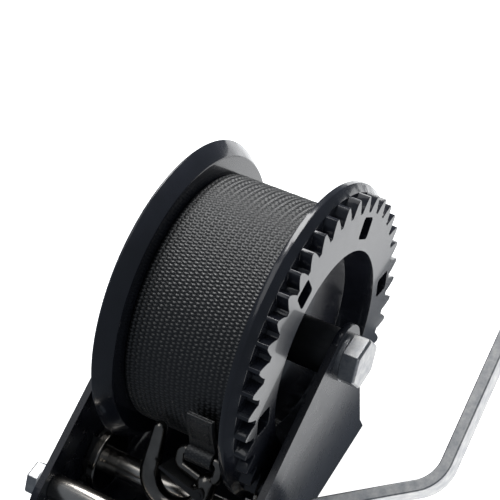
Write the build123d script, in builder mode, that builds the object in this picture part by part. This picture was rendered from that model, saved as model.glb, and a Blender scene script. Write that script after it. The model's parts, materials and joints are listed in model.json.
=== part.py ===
"""Boat trailer winch: a stamped frame, a strap drum turned by a 41 to 10 gear pair, a crank and a snap hook.

Origin: underside of the base, at the middle of the four mounting holes. +X is the crank side,
+Y the drum side (the back), +Z up. Millimetres.
"""

from build123d import *
from math import acos, cos, pi, radians, sin, sqrt, tan
import os

# Frame: one U-shaped stamping
WIDTH = 88.5
SHEET = 3.0
BEND = 4.0
BASE_BACK = 67.0
BASE_FRONT = -60.0
PLATE_BACK = 63.3
PLATE_FRONT = -54.0
FLARE_TOP = 13.5
TOP_RADIUS = 13.5
TOP_SLOPE = 23.5
HOLE_R = 5.5
HOLE_PITCH_X = 40.0
HOLE_PITCH_Y = 90.0

# Shaft lines, as (y, z)
DRUM = (50.0, 72.0)
GEAR_CENTRES = 76.9
PINION_ANGLE = 218.5
TIE = (-38.5, 37.6)
PAWL_PIVOT = (-37.0, 15.5)

# Gear pair
MODULE = 3.0
PRESSURE = 25.0
GEAR_TEETH = 41
PINION_TEETH = 10
THINNING = 0.3
PINION_SHIFT = 0.3
GEAR_PHASE = 0.0

# Places along X, left (-) to right (+)
INNER_L = -WIDTH / 2 + SHEET
INNER_R = WIDTH / 2 - SHEET
OUTER_L = -WIDTH / 2
OUTER_R = WIDTH / 2
RIM_X = 28.25
TOOTH_BACK = RIM_X + 2.7
TOOTH_FACE = RIM_X + 7.65
CUP_FLOOR = RIM_X - 4.9
PLAIN_FACE = RIM_X - 53.9
PLAIN_FLOOR = PLAIN_FACE - 4.6
PLAIN_RIM = PLAIN_FACE - 6.7

# Drum
DRUM_SHEET = 2.5
PLAIN_FLARE = 5.0
GEAR_RIM_R = 67.5
PLAIN_RIM_R = 65.6
CUP_R = 41.7
CUP_FLOOR_R = 40.0
CORE_R = 18.5
CORE_WALL = 2.5
FLANGE_HOLES = 6
FLANGE_HOLE = 9.2
FLANGE_HOLE_R = 51.0
FLANGE_HOLE_ANGLE = 47.0
STRAP_R = 53.6
STRAP_STEP_R = 44.6
STRAP_GAP = 0.3

# Axle, shafts and fasteners
AXLE_R = 6.0
SLEEVE_R = 8.0
SPACER_R = 10.0
FIT = 0.06
PLAY = 0.3
SHAFT_R = 5.5
BUSH_R = 7.5
BUSH_LIP = 1.2
TIE_BOLT_R = 4.0
TIE_TUBE_R = 5.5
HEX_M12 = 19.0
HEX_M8 = 13.0
HEX_M6 = 10.0
HEAD_M6 = 4.0
NUT_M6 = 5.0
WASHER_M12 = (10.0, 2.0)
WASHER_M8 = (8.0, 1.6)
HEAD_M12 = 7.5
HEAD_M8 = 5.3
NUT_M12 = 10.0
NUT_M8 = 6.5

# Ratchet
RATCHET_TEETH = 8
RATCHET_R = 13.5
RATCHET_ROOT_R = 10.5
RATCHET_WIDE = 3.3
COLLAR_WIDE = 3.5
COLLAR_EDGE = 1.0
PAWL_THICK = 3.0
PAWL_BOSS_R = 6.5
PAWL_PIN_R = 3.0
PAWL_TIP_R = 14.4
PAWL_LIFT = 12.0
PAWL_SPRING = 4.0
PAWL_SPRING_R = 5.5

# Crank
CRANK_ANGLE = 24.0
BAR_THICK = 5.0
BAR_WIDE = 14.0
HUB_BEND = 7.0
ARM_BEND = 16.0
HUB_X = OUTER_R + 8.5
ARM_X = RIM_X + 68.0
DOGLEG_IN = 16.0
DOGLEG_OUT = 45.0
CRANK_LONG = 200.0
EYE_R = 11.0
GRIP_LONG = 95.0
GRIP_R = 14.0
GRIP_SWELL_R = 16.0
GRIP_POCKET_R = 7.5
GRIP_POCKET_DEEP = 6.3
SPINDLE_R = 4.0
SPINDLE_HEX = 11.0
SPINDLE_HEAD = 4.3

# Hook: it hangs in a plane that holds X and leans out at the top
HOOK_X = RIM_X - 15.5
HOOK_LEAN = 55.8
HOOK_EYE = (-10.0, 58.7)
HOOK_WIRE_R = 4.2
HOOK_BAR_R = 2.2
HOOK_EYE_WIDE = 17.2
HOOK_EYE_DROP = 6.6
HOOK_BOWL_R = 12.5
HOOK_SPINE = 4.9
HOOK_BOWL_DROP = 13.0
HOOK_NECK_DROP = 10.0
HOOK_TIP = 4.0
HOOK_TIP_R = 2.6
LATCH_DROP = 13.5
LATCH_LONG = 19.6
LATCH_RISE = 13.0
LATCH_PIN_R = 1.2
LATCH_EAR_R = 2.4
LATCH_SHEET = 1.2
TAIL_THICK = 2.2
TAIL_WIDE = 12.0
TAIL_TURN = 22.0

PINION = (
    DRUM[0] + GEAR_CENTRES * cos(radians(PINION_ANGLE)),
    DRUM[1] + GEAR_CENTRES * sin(radians(PINION_ANGLE)),
)


def across(x, centre=(0.0, 0.0)):
    """The plane square to X at x, with its own x along +Y, its y along +Z and its origin on a shaft line."""
    return Plane(origin=(x, centre[0], centre[1]), x_dir=(0, 1, 0), z_dir=(1, 0, 0))


def save(piece, name):
    piece.part.label = name
    export_step(piece.part, f"parts/{name}.step")


def tube(centre, x0, x1, outer, inner=0.0):
    """A round bar or tube along X."""
    with BuildPart() as piece:
        with BuildSketch(across(x0, centre)):
            Circle(outer)
            if inner:
                Circle(inner, mode=Mode.SUBTRACT)
        extrude(amount=x1 - x0)
    return piece


def bolt(centre, shank_from, shank_to, radius, hex_size, head, head_side):
    """A hexagon bolt along X: head_side is +1 with its head at shank_to, and -1 at shank_from."""
    head_x = shank_to if head_side > 0 else shank_from - head
    with BuildPart() as piece:
        with BuildSketch(across(shank_from, centre)):
            Circle(radius)
        extrude(amount=shank_to - shank_from)
        with BuildSketch(across(head_x, centre)):
            RegularPolygon(hex_size / 2, 6, major_radius=False)
        extrude(amount=head)
        chamfer(piece.faces().sort_by(Axis.X)[-1 if head_side > 0 else 0].edges(), length=head / 8)
    return piece


def nut(centre, x0, wide, hex_size, bore):
    with BuildPart() as piece:
        with BuildSketch(across(x0, centre)):
            RegularPolygon(hex_size / 2, 6, major_radius=False)
            Circle(bore, mode=Mode.SUBTRACT)
        extrude(amount=wide)
    return piece


def washer(centre, x0, size, bore):
    return tube(centre, x0, x0 + size[1], size[0], bore)


def half_tooth(radius, teeth, shift):
    """Half the angle, in radians, that one involute tooth spans at a radius."""
    pitch = MODULE * teeth / 2
    base = pitch * cos(radians(PRESSURE))
    at_pitch = pi / (2 * teeth) + (2 * shift * tan(radians(PRESSURE)) - THINNING) / (2 * pitch)
    flank = max(radius, base)
    involute = sqrt((flank / base) ** 2 - 1) - acos(base / flank)
    return at_pitch + tan(radians(PRESSURE)) - radians(PRESSURE) - involute


def polar(radius, angle):
    return (radius * cos(angle), radius * sin(angle))


def gear_outline(teeth, shift, phase):
    """The outline of an involute spur gear, drawn in a sketch, with a tooth's middle at phase degrees."""
    tip = MODULE * (teeth / 2 + 1) + shift
    root = MODULE * (teeth / 2 - 1.25) + shift
    base = MODULE * teeth / 2 * cos(radians(PRESSURE))
    start = max(root, base)
    radii = [start + (tip - start) * step / 4 for step in range(5)]
    pitch_angle = 2 * pi / teeth
    with BuildLine() as outline:
        for tooth in range(teeth):
            middle = radians(phase) + tooth * pitch_angle
            rising = [polar(r, middle - half_tooth(r, teeth, shift)) for r in radii]
            falling = [polar(r, middle + half_tooth(r, teeth, shift)) for r in reversed(radii)]
            foot = half_tooth(start, teeth, shift)
            if root < base:
                Line(polar(root, middle - foot), rising[0])
                Line(falling[-1], polar(root, middle + foot))
            Spline(*rising)
            ThreePointArc(rising[-1], polar(tip, middle), falling[0])
            Spline(*falling)
            ThreePointArc(
                polar(root, middle + foot),
                polar(root, middle + pitch_angle / 2),
                polar(root, middle + pitch_angle - foot),
            )
    make_face(outline.edges())


def frame():
    """Two side plates and the base, folded from one sheet, with every hole."""
    slope = radians(TOP_SLOPE)
    slope_start = (DRUM[0] - TOP_RADIUS * sin(slope), DRUM[1] + TOP_RADIUS * cos(slope))
    front_top = slope_start[1] - (slope_start[0] - PLATE_FRONT) * tan(slope)
    with BuildPart() as piece:
        with BuildSketch(Plane.XZ.offset(-BASE_BACK)):
            with BuildLine():
                section = Polyline(
                    (OUTER_L + SHEET / 2, DRUM[1] + TOP_RADIUS + SHEET),
                    (OUTER_L + SHEET / 2, SHEET / 2),
                    (OUTER_R - SHEET / 2, SHEET / 2),
                    (OUTER_R - SHEET / 2, DRUM[1] + TOP_RADIUS + SHEET),
                )
                fillet(section.vertices().group_by(Axis.Y)[0], radius=BEND + SHEET / 2)
            trace(line_width=SHEET)
        extrude(amount=BASE_BACK - BASE_FRONT)
        with BuildSketch(across(OUTER_L)):
            with BuildLine():
                Polyline(
                    (PLATE_BACK, DRUM[1]),
                    (PLATE_BACK, FLARE_TOP),
                    (BASE_BACK, SHEET),
                    (BASE_BACK, 0),
                    (BASE_FRONT, 0),
                    (BASE_FRONT, SHEET),
                    (PLATE_FRONT, FLARE_TOP),
                    (PLATE_FRONT, front_top),
                    slope_start,
                )
                ThreePointArc(
                    slope_start,
                    (DRUM[0] + TOP_RADIUS * sin(slope), DRUM[1] + TOP_RADIUS * cos(slope)),
                    (PLATE_BACK, DRUM[1]),
                )
            outline = make_face()
            fillet(outline.vertices().sort_by_distance((PLATE_FRONT, front_top))[0], radius=TOP_RADIUS)
        extrude(amount=WIDTH, mode=Mode.INTERSECT)
        for centre, radius in ((DRUM, AXLE_R), (PINION, BUSH_R), (TIE, TIE_BOLT_R), (PAWL_PIVOT, PAWL_PIN_R)):
            with BuildSketch(across(OUTER_L, centre)):
                Circle(radius)
            reach = WIDTH / 2 if centre == PAWL_PIVOT else WIDTH
            extrude(amount=reach, mode=Mode.SUBTRACT)
        with BuildSketch(Plane.XY):
            with GridLocations(HOLE_PITCH_X, HOLE_PITCH_Y, 2, 2):
                Circle(HOLE_R)
        extrude(amount=SHEET, mode=Mode.SUBTRACT)
    save(piece, "frame")


def drum_gear_flange():
    """The pressed flange on the crank side with its ring of teeth, its cup and its holes."""
    tip = MODULE * (GEAR_TEETH / 2 + 1)
    with BuildPart() as piece:
        with BuildSketch(across(TOOTH_BACK, DRUM)):
            gear_outline(GEAR_TEETH, 0, GEAR_PHASE)
        extrude(amount=TOOTH_FACE - TOOTH_BACK)
        with BuildSketch(Plane(origin=(0, *DRUM), x_dir=(1, 0, 0), z_dir=(0, 1, 0))):
            with BuildLine():
                Polyline(
                    (RIM_X - DRUM_SHEET, 0),
                    (RIM_X - DRUM_SHEET, -GEAR_RIM_R),
                    (RIM_X, -GEAR_RIM_R),
                    (TOOTH_BACK, -tip),
                    (TOOTH_BACK, 0),
                    close=True,
                )
            make_face()
        revolve(axis=Axis((0, *DRUM), (1, 0, 0)))
        with BuildSketch(across(CUP_FLOOR - DRUM_SHEET, DRUM)):
            Circle(CUP_R + DRUM_SHEET)
        extrude(amount=TOOTH_FACE - CUP_FLOOR + DRUM_SHEET)
        with BuildSketch(across(CUP_FLOOR, DRUM)):
            Circle(CUP_FLOOR_R)
        with BuildSketch(across(TOOTH_FACE, DRUM)):
            Circle(CUP_R)
        loft(mode=Mode.SUBTRACT)
        with BuildSketch(across(CUP_FLOOR - DRUM_SHEET, DRUM)):
            Circle(SLEEVE_R + PLAY)
            with PolarLocations(FLANGE_HOLE_R, FLANGE_HOLES, start_angle=FLANGE_HOLE_ANGLE):
                RectangleRounded(FLANGE_HOLE, FLANGE_HOLE, FLANGE_HOLE / 6)
        extrude(amount=TOOTH_FACE - CUP_FLOOR + DRUM_SHEET, mode=Mode.SUBTRACT)
    save(piece, "drum_gear_flange")


def plain_flange():
    """The pressed flange on the far side, flared away from the strap at its rim."""
    step = STRAP_STEP_R + STRAP_GAP
    with BuildPart() as piece:
        with BuildSketch(Plane(origin=(0, *DRUM), x_dir=(1, 0, 0), z_dir=(0, 1, 0))):
            with BuildLine():
                inside = Polyline(
                    (PLAIN_FLOOR, -SLEEVE_R - PLAY),
                    (PLAIN_FLOOR, -step),
                    (PLAIN_FACE, -step - DRUM_SHEET),
                    (PLAIN_FACE, PLAIN_FLARE - PLAIN_RIM_R),
                    (PLAIN_RIM, -PLAIN_RIM_R),
                )
                outside = offset(inside, DRUM_SHEET, side=Side.RIGHT, closed=True)
            make_face()
        revolve(axis=Axis((0, *DRUM), (1, 0, 0)))
    save(piece, "plain_flange")


def strap_roll():
    """The wound strap: its inner turns lie between the cups and its outer turns between the flanges."""
    core = CORE_R + STRAP_GAP
    with BuildPart() as piece:
        with BuildSketch(Plane(origin=(0, *DRUM), x_dir=(1, 0, 0), z_dir=(0, 1, 0))):
            with BuildLine():
                Polyline(
                    (PLAIN_FLOOR + STRAP_GAP, -core),
                    (PLAIN_FLOOR + STRAP_GAP, -STRAP_STEP_R + DRUM_SHEET),
                    (PLAIN_FACE + STRAP_GAP, -STRAP_STEP_R - DRUM_SHEET),
                    (PLAIN_FACE + STRAP_GAP, -STRAP_R),
                    (RIM_X - DRUM_SHEET - STRAP_GAP, -STRAP_R),
                    (RIM_X - DRUM_SHEET - STRAP_GAP, -STRAP_STEP_R),
                    (CUP_FLOOR - DRUM_SHEET - STRAP_GAP, -STRAP_STEP_R),
                    (CUP_FLOOR - DRUM_SHEET - STRAP_GAP, -core),
                    close=True,
                )
            make_face()
        revolve(axis=Axis((0, *DRUM), (1, 0, 0)))
    save(piece, "strap_roll")


def drum_inside():
    """The core tube between the flanges and the two bushes pressed into it."""
    core_right = CUP_FLOOR - DRUM_SHEET
    save(tube(DRUM, PLAIN_FLOOR, core_right, CORE_R, CORE_R - CORE_WALL), "drum_core")
    long = CORE_R / 2
    with BuildPart() as bushes:
        for x0 in (PLAIN_FLOOR, core_right - long):
            with BuildSketch(across(x0, DRUM)):
                Circle(CORE_R - CORE_WALL)
                Circle(SLEEVE_R + FIT, mode=Mode.SUBTRACT)
            extrude(amount=long)
    save(bushes, "drum_bushes")


def drum_axle():
    """The axle bolt, its sleeve, its spacers, its washers and its nut."""
    thick = WASHER_M12[1]
    head_at = OUTER_R + thick
    tail_at = OUTER_L - thick - NUT_M12 - 2 * PLAY
    save(bolt(DRUM, tail_at, head_at, AXLE_R, HEX_M12, HEAD_M12, 1), "drum_axle_bolt")
    save(nut(DRUM, OUTER_L - thick - NUT_M12, NUT_M12, HEX_M12, AXLE_R), "drum_axle_nut")
    save(tube(DRUM, INNER_L, INNER_R, SLEEVE_R, AXLE_R), "axle_sleeve")
    save(tube(DRUM, CUP_FLOOR + PLAY, INNER_R, SPACER_R, SLEEVE_R), "spacer_right")
    save(tube(DRUM, INNER_L, PLAIN_FLOOR - DRUM_SHEET - PLAY, SPACER_R, SLEEVE_R), "spacer_left")
    with BuildPart() as washers:
        for x0 in (OUTER_R, OUTER_L - thick):
            with BuildSketch(across(x0, DRUM)):
                Circle(WASHER_M12[0])
                Circle(AXLE_R, mode=Mode.SUBTRACT)
            extrude(amount=thick)
    save(washers, "drum_axle_washers")


def tie_rod():
    """The front tie rod: a bolt through a polished tube that holds the plates apart."""
    thick = WASHER_M8[1]
    save(tube(TIE, INNER_L, INNER_R, TIE_TUBE_R, TIE_BOLT_R), "tie_tube")
    far = OUTER_R + thick + NUT_M8 + 2 * PLAY
    save(bolt(TIE, OUTER_L - thick, far, TIE_BOLT_R, HEX_M8, HEAD_M8, -1), "tie_bolt")
    save(nut(TIE, OUTER_R + thick, NUT_M8, HEX_M8, TIE_BOLT_R), "tie_nut")
    with BuildPart() as washers:
        for x0 in (OUTER_R, OUTER_L - thick):
            with BuildSketch(across(x0, TIE)):
                Circle(WASHER_M8[0])
                Circle(TIE_BOLT_R, mode=Mode.SUBTRACT)
            extrude(amount=thick)
    save(washers, "tie_washers")


def pinion_shaft():
    """The crank's shaft with its pinion, its ratchet wheel, its bushes, its collar and its crank nut."""
    shaft_left = OUTER_L - BUSH_LIP - PLAY - WASHER_M8[1]
    hub_right = HUB_X + BAR_THICK / 2
    shaft_right = hub_right + WASHER_M12[1] + NUT_M12 + 2 * PLAY
    save(tube(PINION, shaft_left, shaft_right, SHAFT_R), "pinion_shaft")
    with BuildPart() as bushes:
        for plate, side in ((OUTER_L, -1), (OUTER_R, 1)):
            with BuildSketch(across(plate - side * SHEET, PINION)):
                Circle(BUSH_R)
                Circle(SHAFT_R + FIT, mode=Mode.SUBTRACT)
            extrude(amount=side * (SHEET + BUSH_LIP))
            with BuildSketch(across(plate, PINION)):
                Circle(BUSH_R + 2 * BUSH_LIP)
                Circle(SHAFT_R + FIT, mode=Mode.SUBTRACT)
            extrude(amount=side * BUSH_LIP)
    save(bushes, "shaft_bushes")
    to_drum = PINION_ANGLE - 180
    lead = (PINION_ANGLE - GEAR_PHASE) % (360 / GEAR_TEETH)
    phase = to_drum + lead * GEAR_TEETH / PINION_TEETH + 180 / PINION_TEETH
    with BuildPart() as pinion:
        with BuildSketch(across(TOOTH_BACK + PLAY, PINION)):
            gear_outline(PINION_TEETH, PINION_SHIFT, phase)
            Circle(SHAFT_R, mode=Mode.SUBTRACT)
        extrude(amount=INNER_R - TOOTH_BACK - 3 * PLAY)
    save(pinion, "pinion_gear")
    with BuildPart() as ratchet:
        with BuildSketch(across(INNER_L + PLAY, PINION)):
            with BuildLine():
                for tooth in range(RATCHET_TEETH):
                    start = 2 * pi * tooth / RATCHET_TEETH
                    stop = 2 * pi * (tooth + 1) / RATCHET_TEETH
                    Line(polar(RATCHET_ROOT_R, start), polar(RATCHET_R, start))
                    Line(polar(RATCHET_R, start), polar(RATCHET_ROOT_R, stop))
            make_face()
            Circle(SHAFT_R, mode=Mode.SUBTRACT)
        extrude(amount=RATCHET_WIDE)
    save(ratchet, "ratchet_wheel")
    collar_from = INNER_L + PLAY + RATCHET_WIDE
    with BuildPart() as collar:
        with BuildSketch(across(collar_from, PINION)):
            Circle(RATCHET_R)
            Circle(SHAFT_R, mode=Mode.SUBTRACT)
        extrude(amount=COLLAR_WIDE)
        rim = collar.edges().filter_by(GeomType.CIRCLE).group_by(Axis.X)[-1].sort_by(SortBy.RADIUS)[-1]
        fillet(rim, COLLAR_EDGE)
    save(collar, "shaft_collar")
    collar_x = OUTER_L - BUSH_LIP - PLAY - WASHER_M8[1]
    save(tube(PINION, collar_x, collar_x + WASHER_M8[1], BUSH_R + BUSH_LIP, SHAFT_R), "shaft_clip")
    inboard = OUTER_R + BUSH_LIP + PLAY
    save(tube(PINION, inboard, HUB_X - BAR_THICK / 2, BUSH_R + BUSH_LIP, SHAFT_R), "hub_spacer")
    save(washer(PINION, hub_right, WASHER_M12, SHAFT_R), "crank_washer")
    save(nut(PINION, hub_right + WASHER_M12[1], NUT_M12, HEX_M12, SHAFT_R), "crank_nut")


def pawl():
    """The sprung pawl and its pivot on the far plate."""
    x0 = INNER_L + 2 * PLAY
    lift = radians(PAWL_LIFT)
    toward = (PINION[0] - PAWL_PIVOT[0], PINION[1] - PAWL_PIVOT[1])
    gap = sqrt(toward[0] ** 2 + toward[1] ** 2)
    reach = gap - PAWL_TIP_R
    unit = (toward[0] / gap, toward[1] / gap)
    nose = (
        reach * (unit[0] * cos(lift) - unit[1] * sin(lift)),
        reach * (unit[0] * sin(lift) + unit[1] * cos(lift)),
    )
    with BuildPart() as piece:
        with BuildSketch(across(x0, PAWL_PIVOT)):
            Circle(PAWL_BOSS_R)
            with BuildLine():
                Polyline(
                    (0, PAWL_BOSS_R),
                    (nose[0], nose[1] + PAWL_PIN_R),
                    nose,
                    (PAWL_PIN_R, -PAWL_PIN_R),
                    close=True,
                )
            make_face()
            Circle(PAWL_PIN_R + FIT, mode=Mode.SUBTRACT)
        extrude(amount=PAWL_THICK)
    save(piece, "pawl")
    spring_from = x0 + PAWL_THICK + PLAY
    spring_to = spring_from + PAWL_SPRING
    save(tube(PAWL_PIVOT, spring_from, spring_to, PAWL_SPRING_R, PAWL_PIN_R + PLAY), "pawl_spring")
    bolt_to = spring_to + NUT_M6
    save(bolt(PAWL_PIVOT, OUTER_L, bolt_to, PAWL_PIN_R, HEX_M6, HEAD_M6, -1), "pawl_pivot_bolt")
    save(nut(PAWL_PIVOT, spring_to, NUT_M6, HEX_M6, PAWL_PIN_R), "pawl_pivot_nut")


def crank():
    """The flat bar crank, its grip and the grip's spindle."""
    turn = radians(CRANK_ANGLE)
    bar = Plane(origin=(0, *PINION), x_dir=(1, 0, 0), z_dir=(0, -sin(turn), cos(turn)))
    with BuildPart() as piece:
        with BuildSketch(bar.offset(-BAR_WIDE / 2)):
            with BuildLine():
                path = Polyline(
                    (HUB_X, 0), (HUB_X, DOGLEG_IN), (ARM_X, DOGLEG_OUT), (ARM_X, CRANK_LONG)
                )
                corners = path.vertices().sort_by(Axis.Y)
                fillet(corners[1], radius=HUB_BEND)
                fillet(corners[2], radius=ARM_BEND)
            trace(line_width=BAR_THICK)
        extrude(amount=BAR_WIDE)
        with BuildSketch(across(HUB_X - BAR_THICK / 2, PINION)):
            Circle(EYE_R)
        extrude(amount=BAR_THICK)
        far = (PINION[0] + CRANK_LONG * cos(turn), PINION[1] + CRANK_LONG * sin(turn))
        with BuildSketch(across(ARM_X - BAR_THICK / 2, far)):
            Circle(BAR_WIDE / 2)
        extrude(amount=BAR_THICK)
        for centre, radius, x0 in ((PINION, SHAFT_R, HUB_X), (far, SPINDLE_R, ARM_X)):
            with BuildSketch(across(x0 - BAR_THICK, centre)):
                Circle(radius)
            extrude(amount=2 * BAR_THICK, mode=Mode.SUBTRACT)
    save(piece, "crank_arm")
    grip_from = ARM_X + BAR_THICK / 2 + PLAY + WASHER_M8[1]
    grip_to = grip_from + GRIP_LONG
    save(washer(far, ARM_X + BAR_THICK / 2, WASHER_M8, SPINDLE_R), "grip_washer")
    with BuildPart() as grip:
        with BuildSketch(Plane(origin=(0, *far), x_dir=(1, 0, 0), z_dir=(0, 1, 0))):
            with BuildLine():
                Line((grip_from, -SPINDLE_R - FIT), (grip_from, -GRIP_R))
                ThreePointArc(
                    (grip_from, -GRIP_R),
                    (grip_from + GRIP_LONG / 2, -GRIP_SWELL_R),
                    (grip_to - GRIP_R, -GRIP_R),
                )
                RadiusArc(
                    (grip_to - GRIP_R, -GRIP_R),
                    (grip_to, -GRIP_POCKET_R),
                    GRIP_R,
                    short_sagitta=True,
                )
                Polyline(
                    (grip_to, -GRIP_POCKET_R),
                    (grip_to - GRIP_POCKET_DEEP, -GRIP_POCKET_R),
                    (grip_to - GRIP_POCKET_DEEP, -SPINDLE_R - FIT),
                    (grip_from, -SPINDLE_R - FIT),
                )
            make_face()
        revolve(axis=Axis((0, *far), (1, 0, 0)))
    save(grip, "grip")
    head_at = grip_to - GRIP_POCKET_DEEP + PLAY
    nut_x = ARM_X - BAR_THICK / 2 - NUT_M8
    save(bolt(far, nut_x - PLAY, head_at, SPINDLE_R, SPINDLE_HEX, SPINDLE_HEAD, 1), "grip_spindle")
    save(nut(far, nut_x, NUT_M8, HEX_M8, SPINDLE_R), "grip_nut")


def hook():
    """The snap hook, its sprung latch and the sewn end of the strap that holds it."""
    lean = radians(HOOK_LEAN)
    normal = (0, -sin(lean), cos(lean))
    down = (0, -cos(lean), -sin(lean))
    hang = Plane(origin=(HOOK_X, *HOOK_EYE), x_dir=(1, 0, 0), z_dir=normal)
    half_eye = HOOK_EYE_WIDE / 2
    point_x = HOOK_SPINE - 2 * HOOK_BOWL_R
    low = -HOOK_BOWL_DROP - HOOK_BOWL_R
    with BuildPart() as piece:
        for side in (-1, 1):
            with BuildLine(hang):
                FilletPolyline(
                    (0, 0),
                    (side * half_eye, 0),
                    (side * half_eye, -HOOK_EYE_DROP),
                    (HOOK_SPINE, -HOOK_NECK_DROP),
                    radius=HOOK_BAR_R + PLAY,
                )
            with BuildSketch(across(HOOK_X, HOOK_EYE)):
                Circle(HOOK_BAR_R)
            sweep()
        with BuildLine(hang):
            Line((HOOK_SPINE, -HOOK_NECK_DROP), (HOOK_SPINE, -HOOK_BOWL_DROP))
            ThreePointArc(
                (HOOK_SPINE, -HOOK_BOWL_DROP),
                (HOOK_SPINE - HOOK_BOWL_R, low),
                (point_x, -HOOK_BOWL_DROP),
            )
        neck_at = hang.from_local_coords((HOOK_SPINE, -HOOK_NECK_DROP, 0))
        with BuildSketch(Plane(origin=neck_at, x_dir=(1, 0, 0), z_dir=down)):
            Circle(HOOK_WIRE_R)
        sweep()
        with Locations(neck_at):
            Sphere(HOOK_WIRE_R)
        for drop, radius in ((-HOOK_BOWL_DROP, HOOK_WIRE_R), (HOOK_TIP, HOOK_TIP_R)):
            at = hang.from_local_coords((point_x, drop, 0))
            with BuildSketch(Plane(origin=at, x_dir=(1, 0, 0), z_dir=down)):
                Circle(radius)
        loft()
        with Locations(hang.from_local_coords((point_x, HOOK_TIP, 0))):
            Sphere(HOOK_TIP_R)
        with BuildSketch(hang.offset(-2 * HOOK_WIRE_R)):
            with Locations((HOOK_SPINE, -LATCH_DROP)):
                Circle(LATCH_PIN_R)
        extrude(amount=4 * HOOK_WIRE_R, mode=Mode.SUBTRACT)
    save(piece, "snap_hook")
    half = HOOK_WIRE_R + PLAY + LATCH_SHEET
    rise = radians(LATCH_RISE)
    leaf = Plane(
        origin=hang.from_local_coords((HOOK_SPINE, -LATCH_DROP, 0)),
        x_dir=(-cos(rise), sin(rise) * cos(lean), sin(rise) * sin(lean)),
        z_dir=normal,
    )
    with BuildPart() as pin:
        with BuildSketch(leaf.offset(-half - PLAY)):
            Circle(LATCH_PIN_R)
        extrude(amount=2 * (half + PLAY))
    save(pin, "latch_pin")
    root = HOOK_WIRE_R + 3 * PLAY
    with BuildPart() as latch:
        with BuildSketch(leaf.offset(-half)):
            Circle(LATCH_EAR_R)
            with BuildLine():
                Polyline(
                    (0, LATCH_EAR_R),
                    (LATCH_LONG, LATCH_SHEET / 2),
                    (LATCH_LONG, -LATCH_SHEET / 2),
                    (0, -LATCH_SHEET / 2),
                    close=True,
                )
            make_face()
        extrude(amount=2 * half)
        with BuildSketch(leaf.offset(LATCH_SHEET - half)):
            with BuildLine():
                Polyline(
                    (-2 * LATCH_EAR_R, -2 * LATCH_EAR_R),
                    (root, -2 * LATCH_EAR_R),
                    (root, LATCH_SHEET / 2),
                    (LATCH_LONG, LATCH_SHEET / 2),
                    (LATCH_LONG, 2 * LATCH_EAR_R),
                    (-2 * LATCH_EAR_R, 2 * LATCH_EAR_R),
                    close=True,
                )
            make_face()
        extrude(amount=2 * (half - LATCH_SHEET), mode=Mode.SUBTRACT)
        with BuildSketch(leaf.offset(-half)):
            Circle(LATCH_PIN_R + FIT)
        extrude(amount=2 * half, mode=Mode.SUBTRACT)
    save(latch, "hook_latch")
    out = (HOOK_EYE[0] - DRUM[0], HOOK_EYE[1] - DRUM[1])
    away = sqrt(out[0] ** 2 + out[1] ** 2)
    loop_r = HOOK_BAR_R + PLAY
    tail_r = away - loop_r - TAIL_THICK
    up = radians(TAIL_TURN)
    unit = (out[0] / away, out[1] / away)
    back = (unit[0] * cos(up) + unit[1] * sin(up), unit[1] * cos(up) - unit[0] * sin(up))
    mid = ((unit[0] + back[0]) / (2 * cos(up / 2)), (unit[1] + back[1]) / (2 * cos(up / 2)))
    far_r = tail_r + TAIL_THICK
    with BuildPart() as tail:
        with BuildSketch(across(HOOK_X - TAIL_WIDE / 2)):
            with Locations(HOOK_EYE):
                Circle(loop_r + TAIL_THICK)
            with BuildLine():
                ends = [
                    [(DRUM[0] + radius * u[0], DRUM[1] + radius * u[1]) for u in (unit, mid, back)]
                    for radius in (tail_r, far_r)
                ]
                ThreePointArc(*ends[0])
                Line(ends[0][2], ends[1][2])
                ThreePointArc(*reversed(ends[1]))
                Line(ends[1][0], ends[0][0])
            make_face()
            with Locations(HOOK_EYE):
                Circle(loop_r, mode=Mode.SUBTRACT)
        extrude(amount=TAIL_WIDE)
    save(tail, "strap_tail")


def main():
    os.makedirs("parts", exist_ok=True)
    frame()
    drum_gear_flange()
    plain_flange()
    strap_roll()
    drum_inside()
    drum_axle()
    tie_rod()
    pinion_shaft()
    pawl()
    crank()
    hook()


if __name__ == "__main__":
    main()
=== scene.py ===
"""The boat trailer winch's looks: materials, woven strap, rounded edges, studio light and camera."""

import json
import math

import bpy
import numpy as np
from mathutils import Matrix, Vector


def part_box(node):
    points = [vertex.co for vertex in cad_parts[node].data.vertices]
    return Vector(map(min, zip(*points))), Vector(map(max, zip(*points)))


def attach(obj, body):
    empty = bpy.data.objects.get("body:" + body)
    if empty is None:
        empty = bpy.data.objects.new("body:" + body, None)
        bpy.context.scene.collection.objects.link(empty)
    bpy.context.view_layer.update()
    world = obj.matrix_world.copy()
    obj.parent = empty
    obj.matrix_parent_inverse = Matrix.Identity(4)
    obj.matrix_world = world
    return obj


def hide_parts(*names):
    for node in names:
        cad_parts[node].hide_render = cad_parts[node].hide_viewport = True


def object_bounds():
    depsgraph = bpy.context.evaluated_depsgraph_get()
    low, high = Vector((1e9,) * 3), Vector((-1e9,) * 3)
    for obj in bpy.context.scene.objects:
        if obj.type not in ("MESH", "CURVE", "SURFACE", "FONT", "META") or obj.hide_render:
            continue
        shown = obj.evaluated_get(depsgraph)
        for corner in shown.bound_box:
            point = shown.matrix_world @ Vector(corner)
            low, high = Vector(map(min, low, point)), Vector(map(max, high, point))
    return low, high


MM = 0.001

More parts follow.
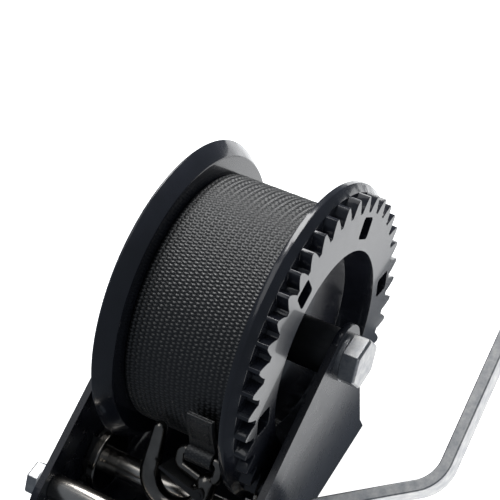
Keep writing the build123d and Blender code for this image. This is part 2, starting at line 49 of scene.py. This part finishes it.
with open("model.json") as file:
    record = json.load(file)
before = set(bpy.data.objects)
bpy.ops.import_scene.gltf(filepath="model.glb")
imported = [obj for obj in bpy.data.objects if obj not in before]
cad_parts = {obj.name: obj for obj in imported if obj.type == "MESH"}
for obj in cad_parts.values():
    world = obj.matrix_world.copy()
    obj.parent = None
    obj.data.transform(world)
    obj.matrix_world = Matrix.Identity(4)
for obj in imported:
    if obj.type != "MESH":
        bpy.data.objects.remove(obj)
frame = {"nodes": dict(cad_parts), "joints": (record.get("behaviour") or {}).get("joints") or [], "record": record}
cad_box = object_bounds()
nodes = frame["nodes"]
joints = {joint["name"]: joint for joint in frame["joints"]}
drum_axis = Vector(joints["drum_spin"]["pos_m"])


# Shader helpers


def new_material(name, **sockets):
    """A Principled material with constants set on its own sockets, given by their names with underscores."""
    material = bpy.data.materials.new(name)
    material.use_nodes = True
    shader = material.node_tree.nodes["Principled BSDF"]
    for key, value in sockets.items():
        shader.inputs[key.replace("_", " ")].default_value = value
    return material, material.node_tree, shader


def add(tree, kind, **values):
    """A node with its properties and its unlinked inputs set."""
    made = tree.nodes.new(kind)
    for key, value in values.items():
        if hasattr(made, key):
            setattr(made, key, value)
        else:
            made.inputs[key.replace("_", " ")].default_value = value
    return made


def noise(tree, scale, detail=4.0, roughness=0.55):
    """Noise in the object's own metres."""
    coordinates = add(tree, "ShaderNodeTexCoord")
    texture = add(tree, "ShaderNodeTexNoise", Scale=scale, Detail=detail, Roughness=roughness)
    tree.links.new(coordinates.outputs["Object"], texture.inputs["Vector"])
    return texture.outputs["Fac"]


def ramp(tree, factor, stops):
    """A colour ramp through (position, colour) stops."""
    made = add(tree, "ShaderNodeValToRGB")
    elements = made.color_ramp.elements
    while len(elements) < len(stops):
        elements.new(0.5)
    for element, (position, colour) in zip(elements, stops):
        element.position = position
        element.color = (*colour, 1.0)
    tree.links.new(factor, made.inputs["Fac"])
    return made.outputs["Color"]


def remap(tree, factor, low, high):
    """A 0 to 1 factor stretched over low to high."""
    made = add(tree, "ShaderNodeMapRange")
    made.inputs["To Min"].default_value = low
    made.inputs["To Max"].default_value = high
    tree.links.new(factor, made.inputs["Value"])
    return made.outputs["Result"]


def bump(tree, shader, height, distance, strength=1.0):
    """Bump from a height, as the shader's normal."""
    made = add(tree, "ShaderNodeBump", Strength=strength, Distance=distance)
    tree.links.new(height, made.inputs["Height"])
    tree.links.new(made.outputs["Normal"], shader.inputs["Normal"])


def gray(level, tint=(1.0, 1.0, 1.0)):
    return tuple(level * part for part in tint)


# Materials

BLUE_BLACK = (0.82, 0.9, 1.25)
WARM = (1.0, 0.94, 0.86)
COOL_ZINC = (0.97, 1.0, 1.06)
WARM_ZINC = (1.0, 1.0, 0.95)
# Tint of the painted highlight on the webbing's crests.
PAINTED_HIGHLIGHT_TINT = (1.0, 0.98, 0.94)


def make_black_paint(name, coat, dull):
    """Glossy powder coat: blue-black, with orange peel and faint cloudy wear."""
    material, tree, shader = new_material(name, Roughness=dull, IOR=1.5)
    shader.inputs["Coat Weight"].default_value = coat
    shader.inputs["Coat Roughness"].default_value = 0.05
    clouds = noise(tree, 60.0)
    colour = ramp(tree, clouds, [(0.3, gray(0.016, BLUE_BLACK)), (0.75, gray(0.028, BLUE_BLACK))])
    tree.links.new(colour, shader.inputs["Base Color"])
    tree.links.new(remap(tree, noise(tree, 140.0), dull - 0.04, dull + 0.08), shader.inputs["Roughness"])
    bump(tree, shader, noise(tree, 260.0, 2.0), 0.03 * MM, 0.1)
    return material


def make_black_steel():
    """Black oxide on steel: satin, with a grainy surface."""
    material, tree, shader = new_material("black_steel", Roughness=0.42, Metallic=0.0)
    colour = ramp(tree, noise(tree, 120.0), [(0.3, gray(0.012)), (0.8, gray(0.03))])
    tree.links.new(colour, shader.inputs["Base Color"])
    tree.links.new(remap(tree, noise(tree, 300.0), 0.32, 0.55), shader.inputs["Roughness"])
    bump(tree, shader, noise(tree, 1200.0, 3.0), 0.06 * MM, 0.5)
    return material


def make_forged_steel():
    """Oiled forged steel: dark, with glossy warm highlights and a rolling surface."""
    material, tree, shader = new_material("forged_steel", Metallic=1.0, Roughness=0.28)
    colour = ramp(tree, noise(tree, 110.0), [(0.3, gray(0.15, WARM)), (0.8, gray(0.34, WARM))])
    tree.links.new(colour, shader.inputs["Base Color"])
    tree.links.new(remap(tree, noise(tree, 240.0), 0.14, 0.26), shader.inputs["Roughness"])
    bump(tree, shader, noise(tree, 400.0, 3.0), 0.15 * MM, 0.4)
    return material


def make_zinc(name, light, dark, patch):
    """Zinc plate: mottled gray with a faint warm and cool drift and a slightly uneven skin."""
    material, tree, shader = new_material(name, Metallic=1.0, Roughness=0.4)
    mottle = noise(tree, patch, 6.0, 0.65)
    cool, middle, warm = gray(dark, COOL_ZINC), gray((light + dark) / 2), gray(light, WARM_ZINC)
    colour = ramp(tree, mottle, [(0.3, cool), (0.55, middle), (0.75, warm)])
    tree.links.new(colour, shader.inputs["Base Color"])
    tree.links.new(remap(tree, noise(tree, patch * 2.0), 0.3, 0.52), shader.inputs["Roughness"])
    bump(tree, shader, noise(tree, patch * 5.0, 3.0), 0.12 * MM, 0.5)
    return material


def make_steel():
    """Bright turned steel, with fine rings around the X axis."""
    material, tree, shader = new_material("steel", Metallic=1.0, Roughness=0.22)
    coordinates = add(tree, "ShaderNodeTexCoord")
    stretch = add(tree, "ShaderNodeMapping")
    stretch.inputs["Scale"].default_value = (3000.0, 20.0, 20.0)
    rings = add(tree, "ShaderNodeTexNoise", Scale=1.0, Detail=2.0)
    tree.links.new(coordinates.outputs["Object"], stretch.inputs["Vector"])
    tree.links.new(stretch.outputs["Vector"], rings.inputs["Vector"])
    colour = ramp(tree, noise(tree, 90.0), [(0.3, gray(0.6, WARM)), (0.7, gray(0.78, WARM))])
    tree.links.new(colour, shader.inputs["Base Color"])
    tree.links.new(remap(tree, rings.outputs["Fac"], 0.16, 0.28), shader.inputs["Roughness"])
    return material


def make_webbing():
    """Black polyester yarn: painted shade in the gaps and a painted highlight on each raised float, with a faint
    real sheen.
    """
    material, tree, shader = new_material("webbing", Roughness=0.42, IOR=1.75)
    shader.inputs["Sheen Weight"].default_value = 0.06
    shader.inputs["Sheen Roughness"].default_value = 0.4
    height = add(tree, "ShaderNodeAttribute", attribute_name="height")
    painted_gap_shade, flank, painted_crest_highlight = gray(0.002, BLUE_BLACK), gray(0.014), gray(0.09, PAINTED_HIGHLIGHT_TINT)
    # The weave height paints the colour: painted shade in the gaps, plain yarn on the flanks, painted highlight on
    # the crests.
    colour = ramp(tree, height.outputs["Fac"], [(0.2, painted_gap_shade), (0.65, flank), (1.0, painted_crest_highlight)])
    tree.links.new(colour, shader.inputs["Base Color"])
    coordinates = add(tree, "ShaderNodeTexCoord")
    stretch = add(tree, "ShaderNodeMapping")
    stretch.inputs["Scale"].default_value = (500.0, 4000.0, 4000.0)
    fibres = add(tree, "ShaderNodeTexNoise", Scale=1.0, Detail=2.0)
    tree.links.new(coordinates.outputs["Object"], stretch.inputs["Vector"])
    tree.links.new(stretch.outputs["Vector"], fibres.inputs["Vector"])
    bump(tree, shader, fibres.outputs["Fac"], 0.08 * MM, 0.6)
    return material


def make_thread():
    """Sewing thread: dark gray, with a twist along each stitch."""
    material, tree, shader = new_material("thread", Roughness=0.45)
    colour = ramp(tree, noise(tree, 900.0), [(0.3, gray(0.02)), (0.8, gray(0.07))])
    tree.links.new(colour, shader.inputs["Base Color"])
    bump(tree, shader, noise(tree, 3000.0, 2.0), 0.03 * MM, 0.5)
    return material


def make_grip():
    """Moulded black plastic, cloudy, with fine ribs around it."""
    material, tree, shader = new_material("grip", Roughness=0.5)
    colour = ramp(tree, noise(tree, 150.0), [(0.3, gray(0.014)), (0.8, gray(0.024))])
    tree.links.new(colour, shader.inputs["Base Color"])
    coordinates = add(tree, "ShaderNodeTexCoord")
    ribs = add(tree, "ShaderNodeTexWave", Scale=55.0, Distortion=0.0)
    tree.links.new(coordinates.outputs["Object"], ribs.inputs["Vector"])
    bump(tree, shader, ribs.outputs["Fac"], 0.6 * MM, 0.8)
    return material


def make_bronze():
    """Sintered bronze: warm and cloudy, with a fine grain."""
    material, tree, shader = new_material("bush", Metallic=1.0, Roughness=0.38)
    colour = ramp(tree, noise(tree, 200.0), [(0.3, (0.38, 0.25, 0.12)), (0.8, (0.6, 0.43, 0.22))])
    tree.links.new(colour, shader.inputs["Base Color"])
    bump(tree, shader, noise(tree, 1500.0, 3.0), 0.05 * MM, 0.6)
    return material


materials = {
    "black_paint": make_black_paint("black_paint", 0.5, 0.22),
    "plate_paint": make_black_paint("plate_paint", 0.05, 0.26),
    "black_steel": make_black_steel(),
    "forged_steel": make_forged_steel(),
    "zinc": make_zinc("zinc", 0.66, 0.34, 300.0),
    "steel": make_steel(),
    "webbing": make_webbing(),
    "thread": make_thread(),
    "grip": make_grip(),
    "bush": make_bronze(),
}


def paint(piece, material):
    piece.data.materials.clear()
    piece.data.materials.append(material)


def soften(piece, width, segments=2):
    """Rounds a CAD node's edges without changing its mesh."""
    weld = piece.modifiers.new("weld", "WELD")
    weld.merge_threshold = 0.001 * MM
    flat = piece.modifiers.new("flat", "DECIMATE")
    flat.decimate_type = "DISSOLVE"
    flat.angle_limit = math.radians(0.5)
    edge = piece.modifiers.new("edge", "BEVEL")
    edge.width = width
    edge.segments = segments
    edge.limit_method = "ANGLE"
    edge.angle_limit = math.radians(32)
    edge.harden_normals = True


# Carried-over CAD nodes

EDGE_WIDTHS = {
    "frame": 0.35,
    "drum_gear_flange": 0.4,
    "plain_flange": 0.5,
    "crank_arm": 1.1,
    "tie_tube": 0.3,
    "drum_axle_bolt": 0.3,
    "tie_bolt": 0.3,
    "crank_nut": 0.4,
    "tie_nut": 0.3,
    "spacer_right": 0.4,
    "pinion_shaft": 0.5,
    "pinion_gear": 0.3,
    "ratchet_wheel": 0.3,
    "pawl": 0.3,
}

OWN_FINISH = {"frame": "plate_paint", "snap_hook": "forged_steel", "shaft_collar": "forged_steel"}

for entry in frame["record"]["subparts"]:
    piece = nodes[entry["node"]]
    paint(piece, materials[OWN_FINISH.get(entry["node"], entry["material_slot"])])
    if entry["node"] in EDGE_WIDTHS:
        soften(piece, EDGE_WIDTHS[entry["node"]] * MM)


# Wound strap

FLOAT_WIDE = 2.3 * MM
FLOAT_LONG = 1.5 * MM
WEAVE_DEEP = 0.6 * MM
STRAP_THICK = 1.6 * MM
YARN_WANDER = 0.14
ACROSS_STEPS = 6
AROUND_STEPS = 5
OUTER_TURN_INSET = 4.6 * MM
SELVEDGE_WIDE = 1.2 * MM
SELVEDGE_DROP = 0.4 * MM
SIDE_INSET = 0.3 * MM
SIDE_STEPS = 6
SIDE_SEGMENTS = 180
SCALLOP_DEEP = 0.6 * MM
LEFT_CORE_R = 22 * MM
RIGHT_CUP_R = 46 * MM


def grid_mesh(name, points, closed_around, values=None):
    """A quad mesh over a (rings, across, 3) array, optionally joined around, with a height attribute."""
    rings, across, _ = points.shape
    mesh = bpy.data.meshes.new(name)
    index = np.arange(rings * across).reshape(rings, across)
    following = np.roll(index, -1, axis=0) if closed_around else index[1:]
    current = index if closed_around else index[:-1]
    quads = np.stack([current[:, :-1], current[:, 1:], following[:, 1:], following[:, :-1]], axis=-1)
    mesh.from_pydata(points.reshape(-1, 3).tolist(), [], quads.reshape(-1, 4).tolist())
    # The height attribute also drives the webbing's painted shade in the gaps and painted highlight on the crests.
    if values is not None:
        layer = mesh.attributes.new("height", "FLOAT", "POINT")
        layer.data.foreach_set("value", values.reshape(-1).astype(np.float32))
    mesh.shade_smooth()
    piece = bpy.data.objects.new(name, mesh)
    bpy.context.scene.collection.objects.link(piece)
    return piece


def weave_height(along, around, wide, long):
    """Height, 0 to 1, of the floats: each column's floats sit half a float on from the next column's.

    The columns lean to one side and the other as they go round, as yarns that cross do.
    """
    wandering = along / wide + YARN_WANDER * np.sin(math.pi * around / long)
    column = np.floor(wandering)
    u = wandering - column
    v = around / long + 0.5 * np.mod(column, 2)
    return np.abs(np.sin(math.pi * u)) ** 0.65 * np.abs(np.sin(math.pi * v)) ** 1.1


def make_roll():
    """The wound strap's outer turn, woven, with the edges of the turns below it at both sides."""
    low, high = (Vector(corner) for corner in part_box("strap_roll"))
    radius = (high.y - low.y) / 2
    outer_low = low.x + OUTER_TURN_INSET
    columns = round((high.x - outer_low) / FLOAT_WIDE)
    wide = (high.x - outer_low) / columns
    rows = 2 * round(math.pi * radius / FLOAT_LONG)
    x = np.linspace(outer_low, high.x, columns * ACROSS_STEPS + 1)
    turn = np.linspace(0, 2 * math.pi, rows * AROUND_STEPS, endpoint=False)
    along, angle = np.meshgrid(x - outer_low, turn)
    height = weave_height(along, angle * rows * FLOAT_LONG / (2 * math.pi), wide, FLOAT_LONG)
    edge = np.clip(np.minimum(along, along.max() - along) / SELVEDGE_WIDE, 0, 1)
    reach = radius - WEAVE_DEEP * (1.0 - height * edge) - (1 - edge) * SELVEDGE_DROP
    points = np.stack(
        [outer_low + along, drum_axis.y + reach * np.cos(angle), drum_axis.z + reach * np.sin(angle)],
        axis=-1,
    )
    # The weave height also paints the webbing: painted shade in the gaps, painted highlight on the crests.
    face = grid_mesh("strap_outer_turn", points, True, height)
    paint(face, materials["webbing"])
    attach(face, "drum")
    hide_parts("strap_roll")
    return outer_low, high.x, radius


def make_roll_side(name, x, inward, radius, inner):
    """The edges of the turns at one side, as rounded rings."""
    turns = int((radius - inner) / STRAP_THICK)
    step = np.arange(turns * SIDE_STEPS + 1)
    reach = radius - WEAVE_DEEP - step * STRAP_THICK / SIDE_STEPS
    scallop = np.abs(np.sin(step * math.pi / SIDE_STEPS)) ** 0.6
    turn = np.linspace(0, 2 * math.pi, SIDE_SEGMENTS, endpoint=False)
    ring, angle = np.meshgrid(reach, turn)
    depth = np.tile(x + inward * (1 - scallop) * SCALLOP_DEEP, (len(turn), 1))
    points = np.stack(
        [depth, drum_axis.y + ring * np.cos(angle), drum_axis.z + ring * np.sin(angle)], axis=-1
    )
    # Half the scallop, as height, paints shade into the grooves between the turns.
    side = grid_mesh(name, points, True, np.tile(scallop * 0.5, (len(turn), 1)))
    paint(side, materials["webbing"])
    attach(side, "drum")


roll_low, roll_high, roll_radius = make_roll()
make_roll_side("strap_edges_left", roll_low + SIDE_INSET, 1, roll_radius, LEFT_CORE_R)
make_roll_side("strap_edges_right", roll_high - SIDE_INSET, -1, roll_radius, RIGHT_CUP_R)


# Strap end: one ribbon that lies on the roll, goes round the hook's eye and comes back over itself

LAYER = 1.0 * MM
LAYER_GAP = 0.05 * MM
TAIL_TURN = math.radians(21.5)
EYE_TURN = math.radians(300)
JOIN_TURN = math.radians(7)
LOOP_R = 3.6 * MM
PATH_STEP = 0.3 * MM
END_COLUMNS = 36
END_FLOAT_WIDE = 1.5 * MM
END_FLOAT_LONG = 1.2 * MM
END_WEAVE_DEEP = 0.12 * MM
END_WEAVE_SPARE = 0.15 * MM
STITCH_LONG = 1.9 * MM
STITCH_PITCH = 1.35 * STITCH_LONG
STITCH_R = 0.22 * MM
STITCH_MARGIN = 2.0 * MM
STITCH_RINGS, STITCH_SIDES = 7, 8


def arc_points(centre, radius, start, stop, count):
    angles = np.linspace(start, stop, count)
    return np.stack([centre[0] + radius * np.cos(angles), centre[1] + radius * np.sin(angles)], axis=-1)


def make_strap_end():
    """The folded strap end as one woven ribbon; returns where its stitches go."""
    eye = Vector(joints["hook_swing"]["pos_m"])
    low, high = (Vector(corner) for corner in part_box("strap_tail"))
    axis = (drum_axis.y, drum_axis.z)
    away = math.hypot(eye.y - drum_axis.y, eye.z - drum_axis.z)
    toward_eye = math.atan2(eye.z - drum_axis.z, eye.y - drum_axis.y) % (2 * math.pi)
    inner = away - LOOP_R
    outer = inner + LAYER + LAYER_GAP
    under = arc_points(axis, inner, toward_eye - TAIL_TURN, toward_eye, 60)
    loop_start = toward_eye - math.pi
    loop = arc_points((eye.y, eye.z), LOOP_R, loop_start, loop_start - EYE_TURN, 60)[1:]
    over = arc_points(axis, outer, toward_eye - JOIN_TURN, toward_eye - TAIL_TURN, 44)
    path = np.concatenate([under, loop, over])
    steps = np.concatenate([[0.0], np.cumsum(np.linalg.norm(np.diff(path, axis=0), axis=1))])
    rows = np.linspace(0, steps[-1], int(steps[-1] / PATH_STEP))
    path = np.stack([np.interp(rows, steps, path[:, 0]), np.interp(rows, steps, path[:, 1])], axis=-1)
    across = np.linspace(low.x + LAYER / 4, high.x - LAYER / 4, END_COLUMNS)
    along, distance = np.meshgrid(across - across[0], rows)
    height = weave_height(along, distance, END_FLOAT_WIDE, END_FLOAT_LONG)
    slope = np.gradient(path, axis=0)
    slope /= np.linalg.norm(slope, axis=1, keepdims=True)
    side = np.stack([slope[:, 1], -slope[:, 0]], axis=-1)
    lift = (height - 0.5) * END_WEAVE_DEEP
    points = np.stack(
        [
            np.tile(across, (len(rows), 1)),
            path[:, 0:1] + lift * side[:, 0:1],
            path[:, 1:2] + lift * side[:, 1:2],
        ],
        axis=-1,
    )
    # The weave height also paints the webbing here: painted shade in the gaps, painted highlight on the crests.
    ribbon = grid_mesh("strap_end", points, False, height)
    thick = ribbon.modifiers.new("thick", "SOLIDIFY")
    thick.thickness = LAYER - END_WEAVE_SPARE
    thick.offset = 0.0
    paint(ribbon, materials["webbing"])
    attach(ribbon, "frame")
    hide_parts("strap_tail")
    return low.x, high.x, outer + LAYER / 2, toward_eye


def make_stitches(left, right, radius, toward_eye):
    """A sewn box with a cross row: short thread bars sunk halfway into the strap's top layer."""
    spots = []
    first, last = toward_eye - TAIL_TURN + 0.05, toward_eye - JOIN_TURN - 0.03
    for angle in np.arange(first, last, STITCH_PITCH / radius):
        spots += [(left + STITCH_MARGIN, angle, False), (right - STITCH_MARGIN, angle, False)]
    for angle in (first, (first + last) / 2, last):
        for x in np.arange(left + STITCH_MARGIN * 1.6, right - STITCH_MARGIN * 1.4, STITCH_PITCH):
            spots.append((x, angle, True))
    rings, sides = STITCH_RINGS, STITCH_SIDES
    verts, faces = [], []
    for x, angle, crosswise in spots:
        start = len(verts)
        for ring in range(rings):
            place = ring / (rings - 1) * 2 - 1
            size = STITCH_R * math.sqrt(max(1 - place**2, 0.02))
            shift = place * STITCH_LONG / 2
            for side in range(sides):
                turn = 2 * math.pi * side / sides
                out, cross = size * math.sin(turn), size * math.cos(turn)
                reach = radius + out
                x_at = x + (shift if crosswise else cross)
                at = angle + (cross if crosswise else shift) / radius
                verts.append((x_at, drum_axis.y + reach * math.cos(at), drum_axis.z + reach * math.sin(at)))
        for ring in range(rings - 1):
            for side in range(sides):
                a = start + ring * sides + side
                b = start + ring * sides + (side + 1) % sides
                faces.append((a, b, b + sides, a + sides))
        faces.append(tuple(range(start, start + sides)))
        faces.append(tuple(reversed(range(start + (rings - 1) * sides, start + rings * sides))))
    mesh = bpy.data.meshes.new("strap_stitches")
    mesh.from_pydata(verts, [], faces)
    mesh.shade_smooth()
    stitches = bpy.data.objects.new("strap_stitches", mesh)
    bpy.context.scene.collection.objects.link(stitches)
    paint(stitches, materials["thread"])
    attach(stitches, "frame")


SPRING_WIRE_R = 0.42 * MM
SPRING_TURNS = 4
SPRING_END_TURN = 0.25


def make_pawl_spring():
    """A torsion spring: close turns of round wire whose ends thin away against the last turn."""
    low, high = (Vector(corner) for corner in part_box("pawl_spring"))
    pivot = Vector(joints["pawl_swing"]["pos_m"])
    wire = SPRING_WIRE_R
    radius = (high.y - low.y) / 2 - wire
    angle = np.linspace(0, 2 * math.pi * SPRING_TURNS, SPRING_TURNS * 40)
    x = np.linspace(low.x + wire, high.x - wire, len(angle))
    ends = np.clip(np.minimum(angle, angle[-1] - angle) / SPRING_END_TURN, 0.03, 1)
    around = np.linspace(0, 2 * math.pi, 12, endpoint=False)
    turn, ring = np.meshgrid(angle, around)
    reach = radius + wire * ends * np.cos(ring)
    points = np.stack(
        [x + wire * ends * np.sin(ring), pivot.y + reach * np.cos(turn), pivot.z + reach * np.sin(turn)],
        axis=-1,
    )
    spring = grid_mesh("pawl_spring_wire", points, True)
    paint(spring, materials["steel"])
    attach(spring, "frame")
    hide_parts("pawl_spring")


make_stitches(*make_strap_end())
make_pawl_spring()


# Floor, light and camera


FLOOR_REACH = 6.0
WORLD_SEEN, WORLD_CAST = 0.9, 0.17
LOW_LAMP_HEIGHT = 0.002


def make_floor():
    """A plain pale floor that the camera sees and reflections and bounced light don't."""
    mesh = bpy.data.meshes.new("floor")
    reach = FLOOR_REACH
    level = cad_box[0][2]
    corners = [(-reach, -reach, level), (reach, -reach, level), (reach, reach, level), (-reach, reach, level)]
    mesh.from_pydata(corners, [], [(0, 1, 2, 3)])
    floor = bpy.data.objects.new("floor", mesh)
    bpy.context.scene.collection.objects.link(floor)
    material, tree, shader = new_material("floor", Roughness=0.9)
    shader.inputs["Base Color"].default_value = (0.9, 0.9, 0.9, 1.0)
    shader.inputs["Emission Color"].default_value = (1.0, 1.0, 1.0, 1.0)
    shader.inputs["Emission Strength"].default_value = 1.2
    paint(floor, material)
    floor.visible_glossy = False
    floor.visible_diffuse = False


def area_light(name, place, target, size, power):
    """A rectangular lamp in metres and watts, unseen by the camera."""
    light = bpy.data.lights.new(name, "AREA")
    light.shape = "RECTANGLE"
    light.size, light.size_y = size
    light.energy = power
    lamp = bpy.data.objects.new(name, light)
    lamp.location = place
    lamp.rotation_euler = (Vector(target) - Vector(place)).to_track_quat("-Z", "Y").to_euler()
    lamp.visible_camera = False
    bpy.context.scene.collection.objects.link(lamp)


def low_light(name, place, size, power):
    """A lamp lying at floor level that faces up, for the light a pale floor throws back."""
    area_light(name, (*place, LOW_LAMP_HEIGHT), (*place, 1.0), size, power)


def make_world(seen, cast):
    """A sky of strength seen to the camera and strength cast to every other ray."""
    world = bpy.data.worlds.new("studio")
    world.use_nodes = True
    tree = world.node_tree
    background = tree.nodes["Background"]
    background.inputs["Color"].default_value = (0.76, 0.86, 1.0, 1.0)
    rays = add(tree, "ShaderNodeLightPath")
    strength = add(tree, "ShaderNodeMix")
    strength.inputs["A"].default_value = cast
    strength.inputs["B"].default_value = seen
    tree.links.new(rays.outputs["Is Camera Ray"], strength.inputs["Factor"])
    tree.links.new(strength.outputs["Result"], background.inputs["Strength"])
    bpy.context.scene.world = world


AZIMUTH, ELEVATION, ROLL = 33.05, 47.7, -4.4
FOCAL = 115.2
SENSOR_WIDE = 36.0
CAMERA_PLACE = (230.8 * MM, -299.5 * MM, 572.7 * MM)


def make_camera():
    """The camera at the photo's viewing angle."""
    turn, rise, roll = (math.radians(angle) for angle in (AZIMUTH, ELEVATION, ROLL))
    forward = Vector((-math.sin(turn) * math.cos(rise), math.cos(turn) * math.cos(rise), -math.sin(rise)))
    level = Vector((math.cos(turn), math.sin(turn), 0.0))
    upward = level.cross(forward)
    right = level * math.cos(roll) + upward * math.sin(roll)
    up = right.cross(forward)
    lens = bpy.data.cameras.new("camera")
    lens.lens = FOCAL
    lens.sensor_width = SENSOR_WIDE
    camera = bpy.data.objects.new("camera", lens)
    turned = Matrix((right, up, -forward)).transposed().to_4x4()
    camera.matrix_world = Matrix.Translation(CAMERA_PLACE) @ turned
    bpy.context.scene.collection.objects.link(camera)
    bpy.context.scene.camera = camera


make_floor()
make_world(WORLD_SEEN, WORLD_CAST)
area_light("key", (-0.55, 0.85, 1.2), drum_axis, (0.8, 0.8), 16.0)
area_light("top", (-0.35, -0.15, 1.2), drum_axis, (0.7, 0.7), 1.6)
low_light("low", (0.381, 0.28), (0.638, 0.62), 1.75)
low_light("low back", (-0.076, 0.36), (0.248, 0.48), 0.52)
make_camera()
bpy.context.scene.view_settings.view_transform = "Standard"
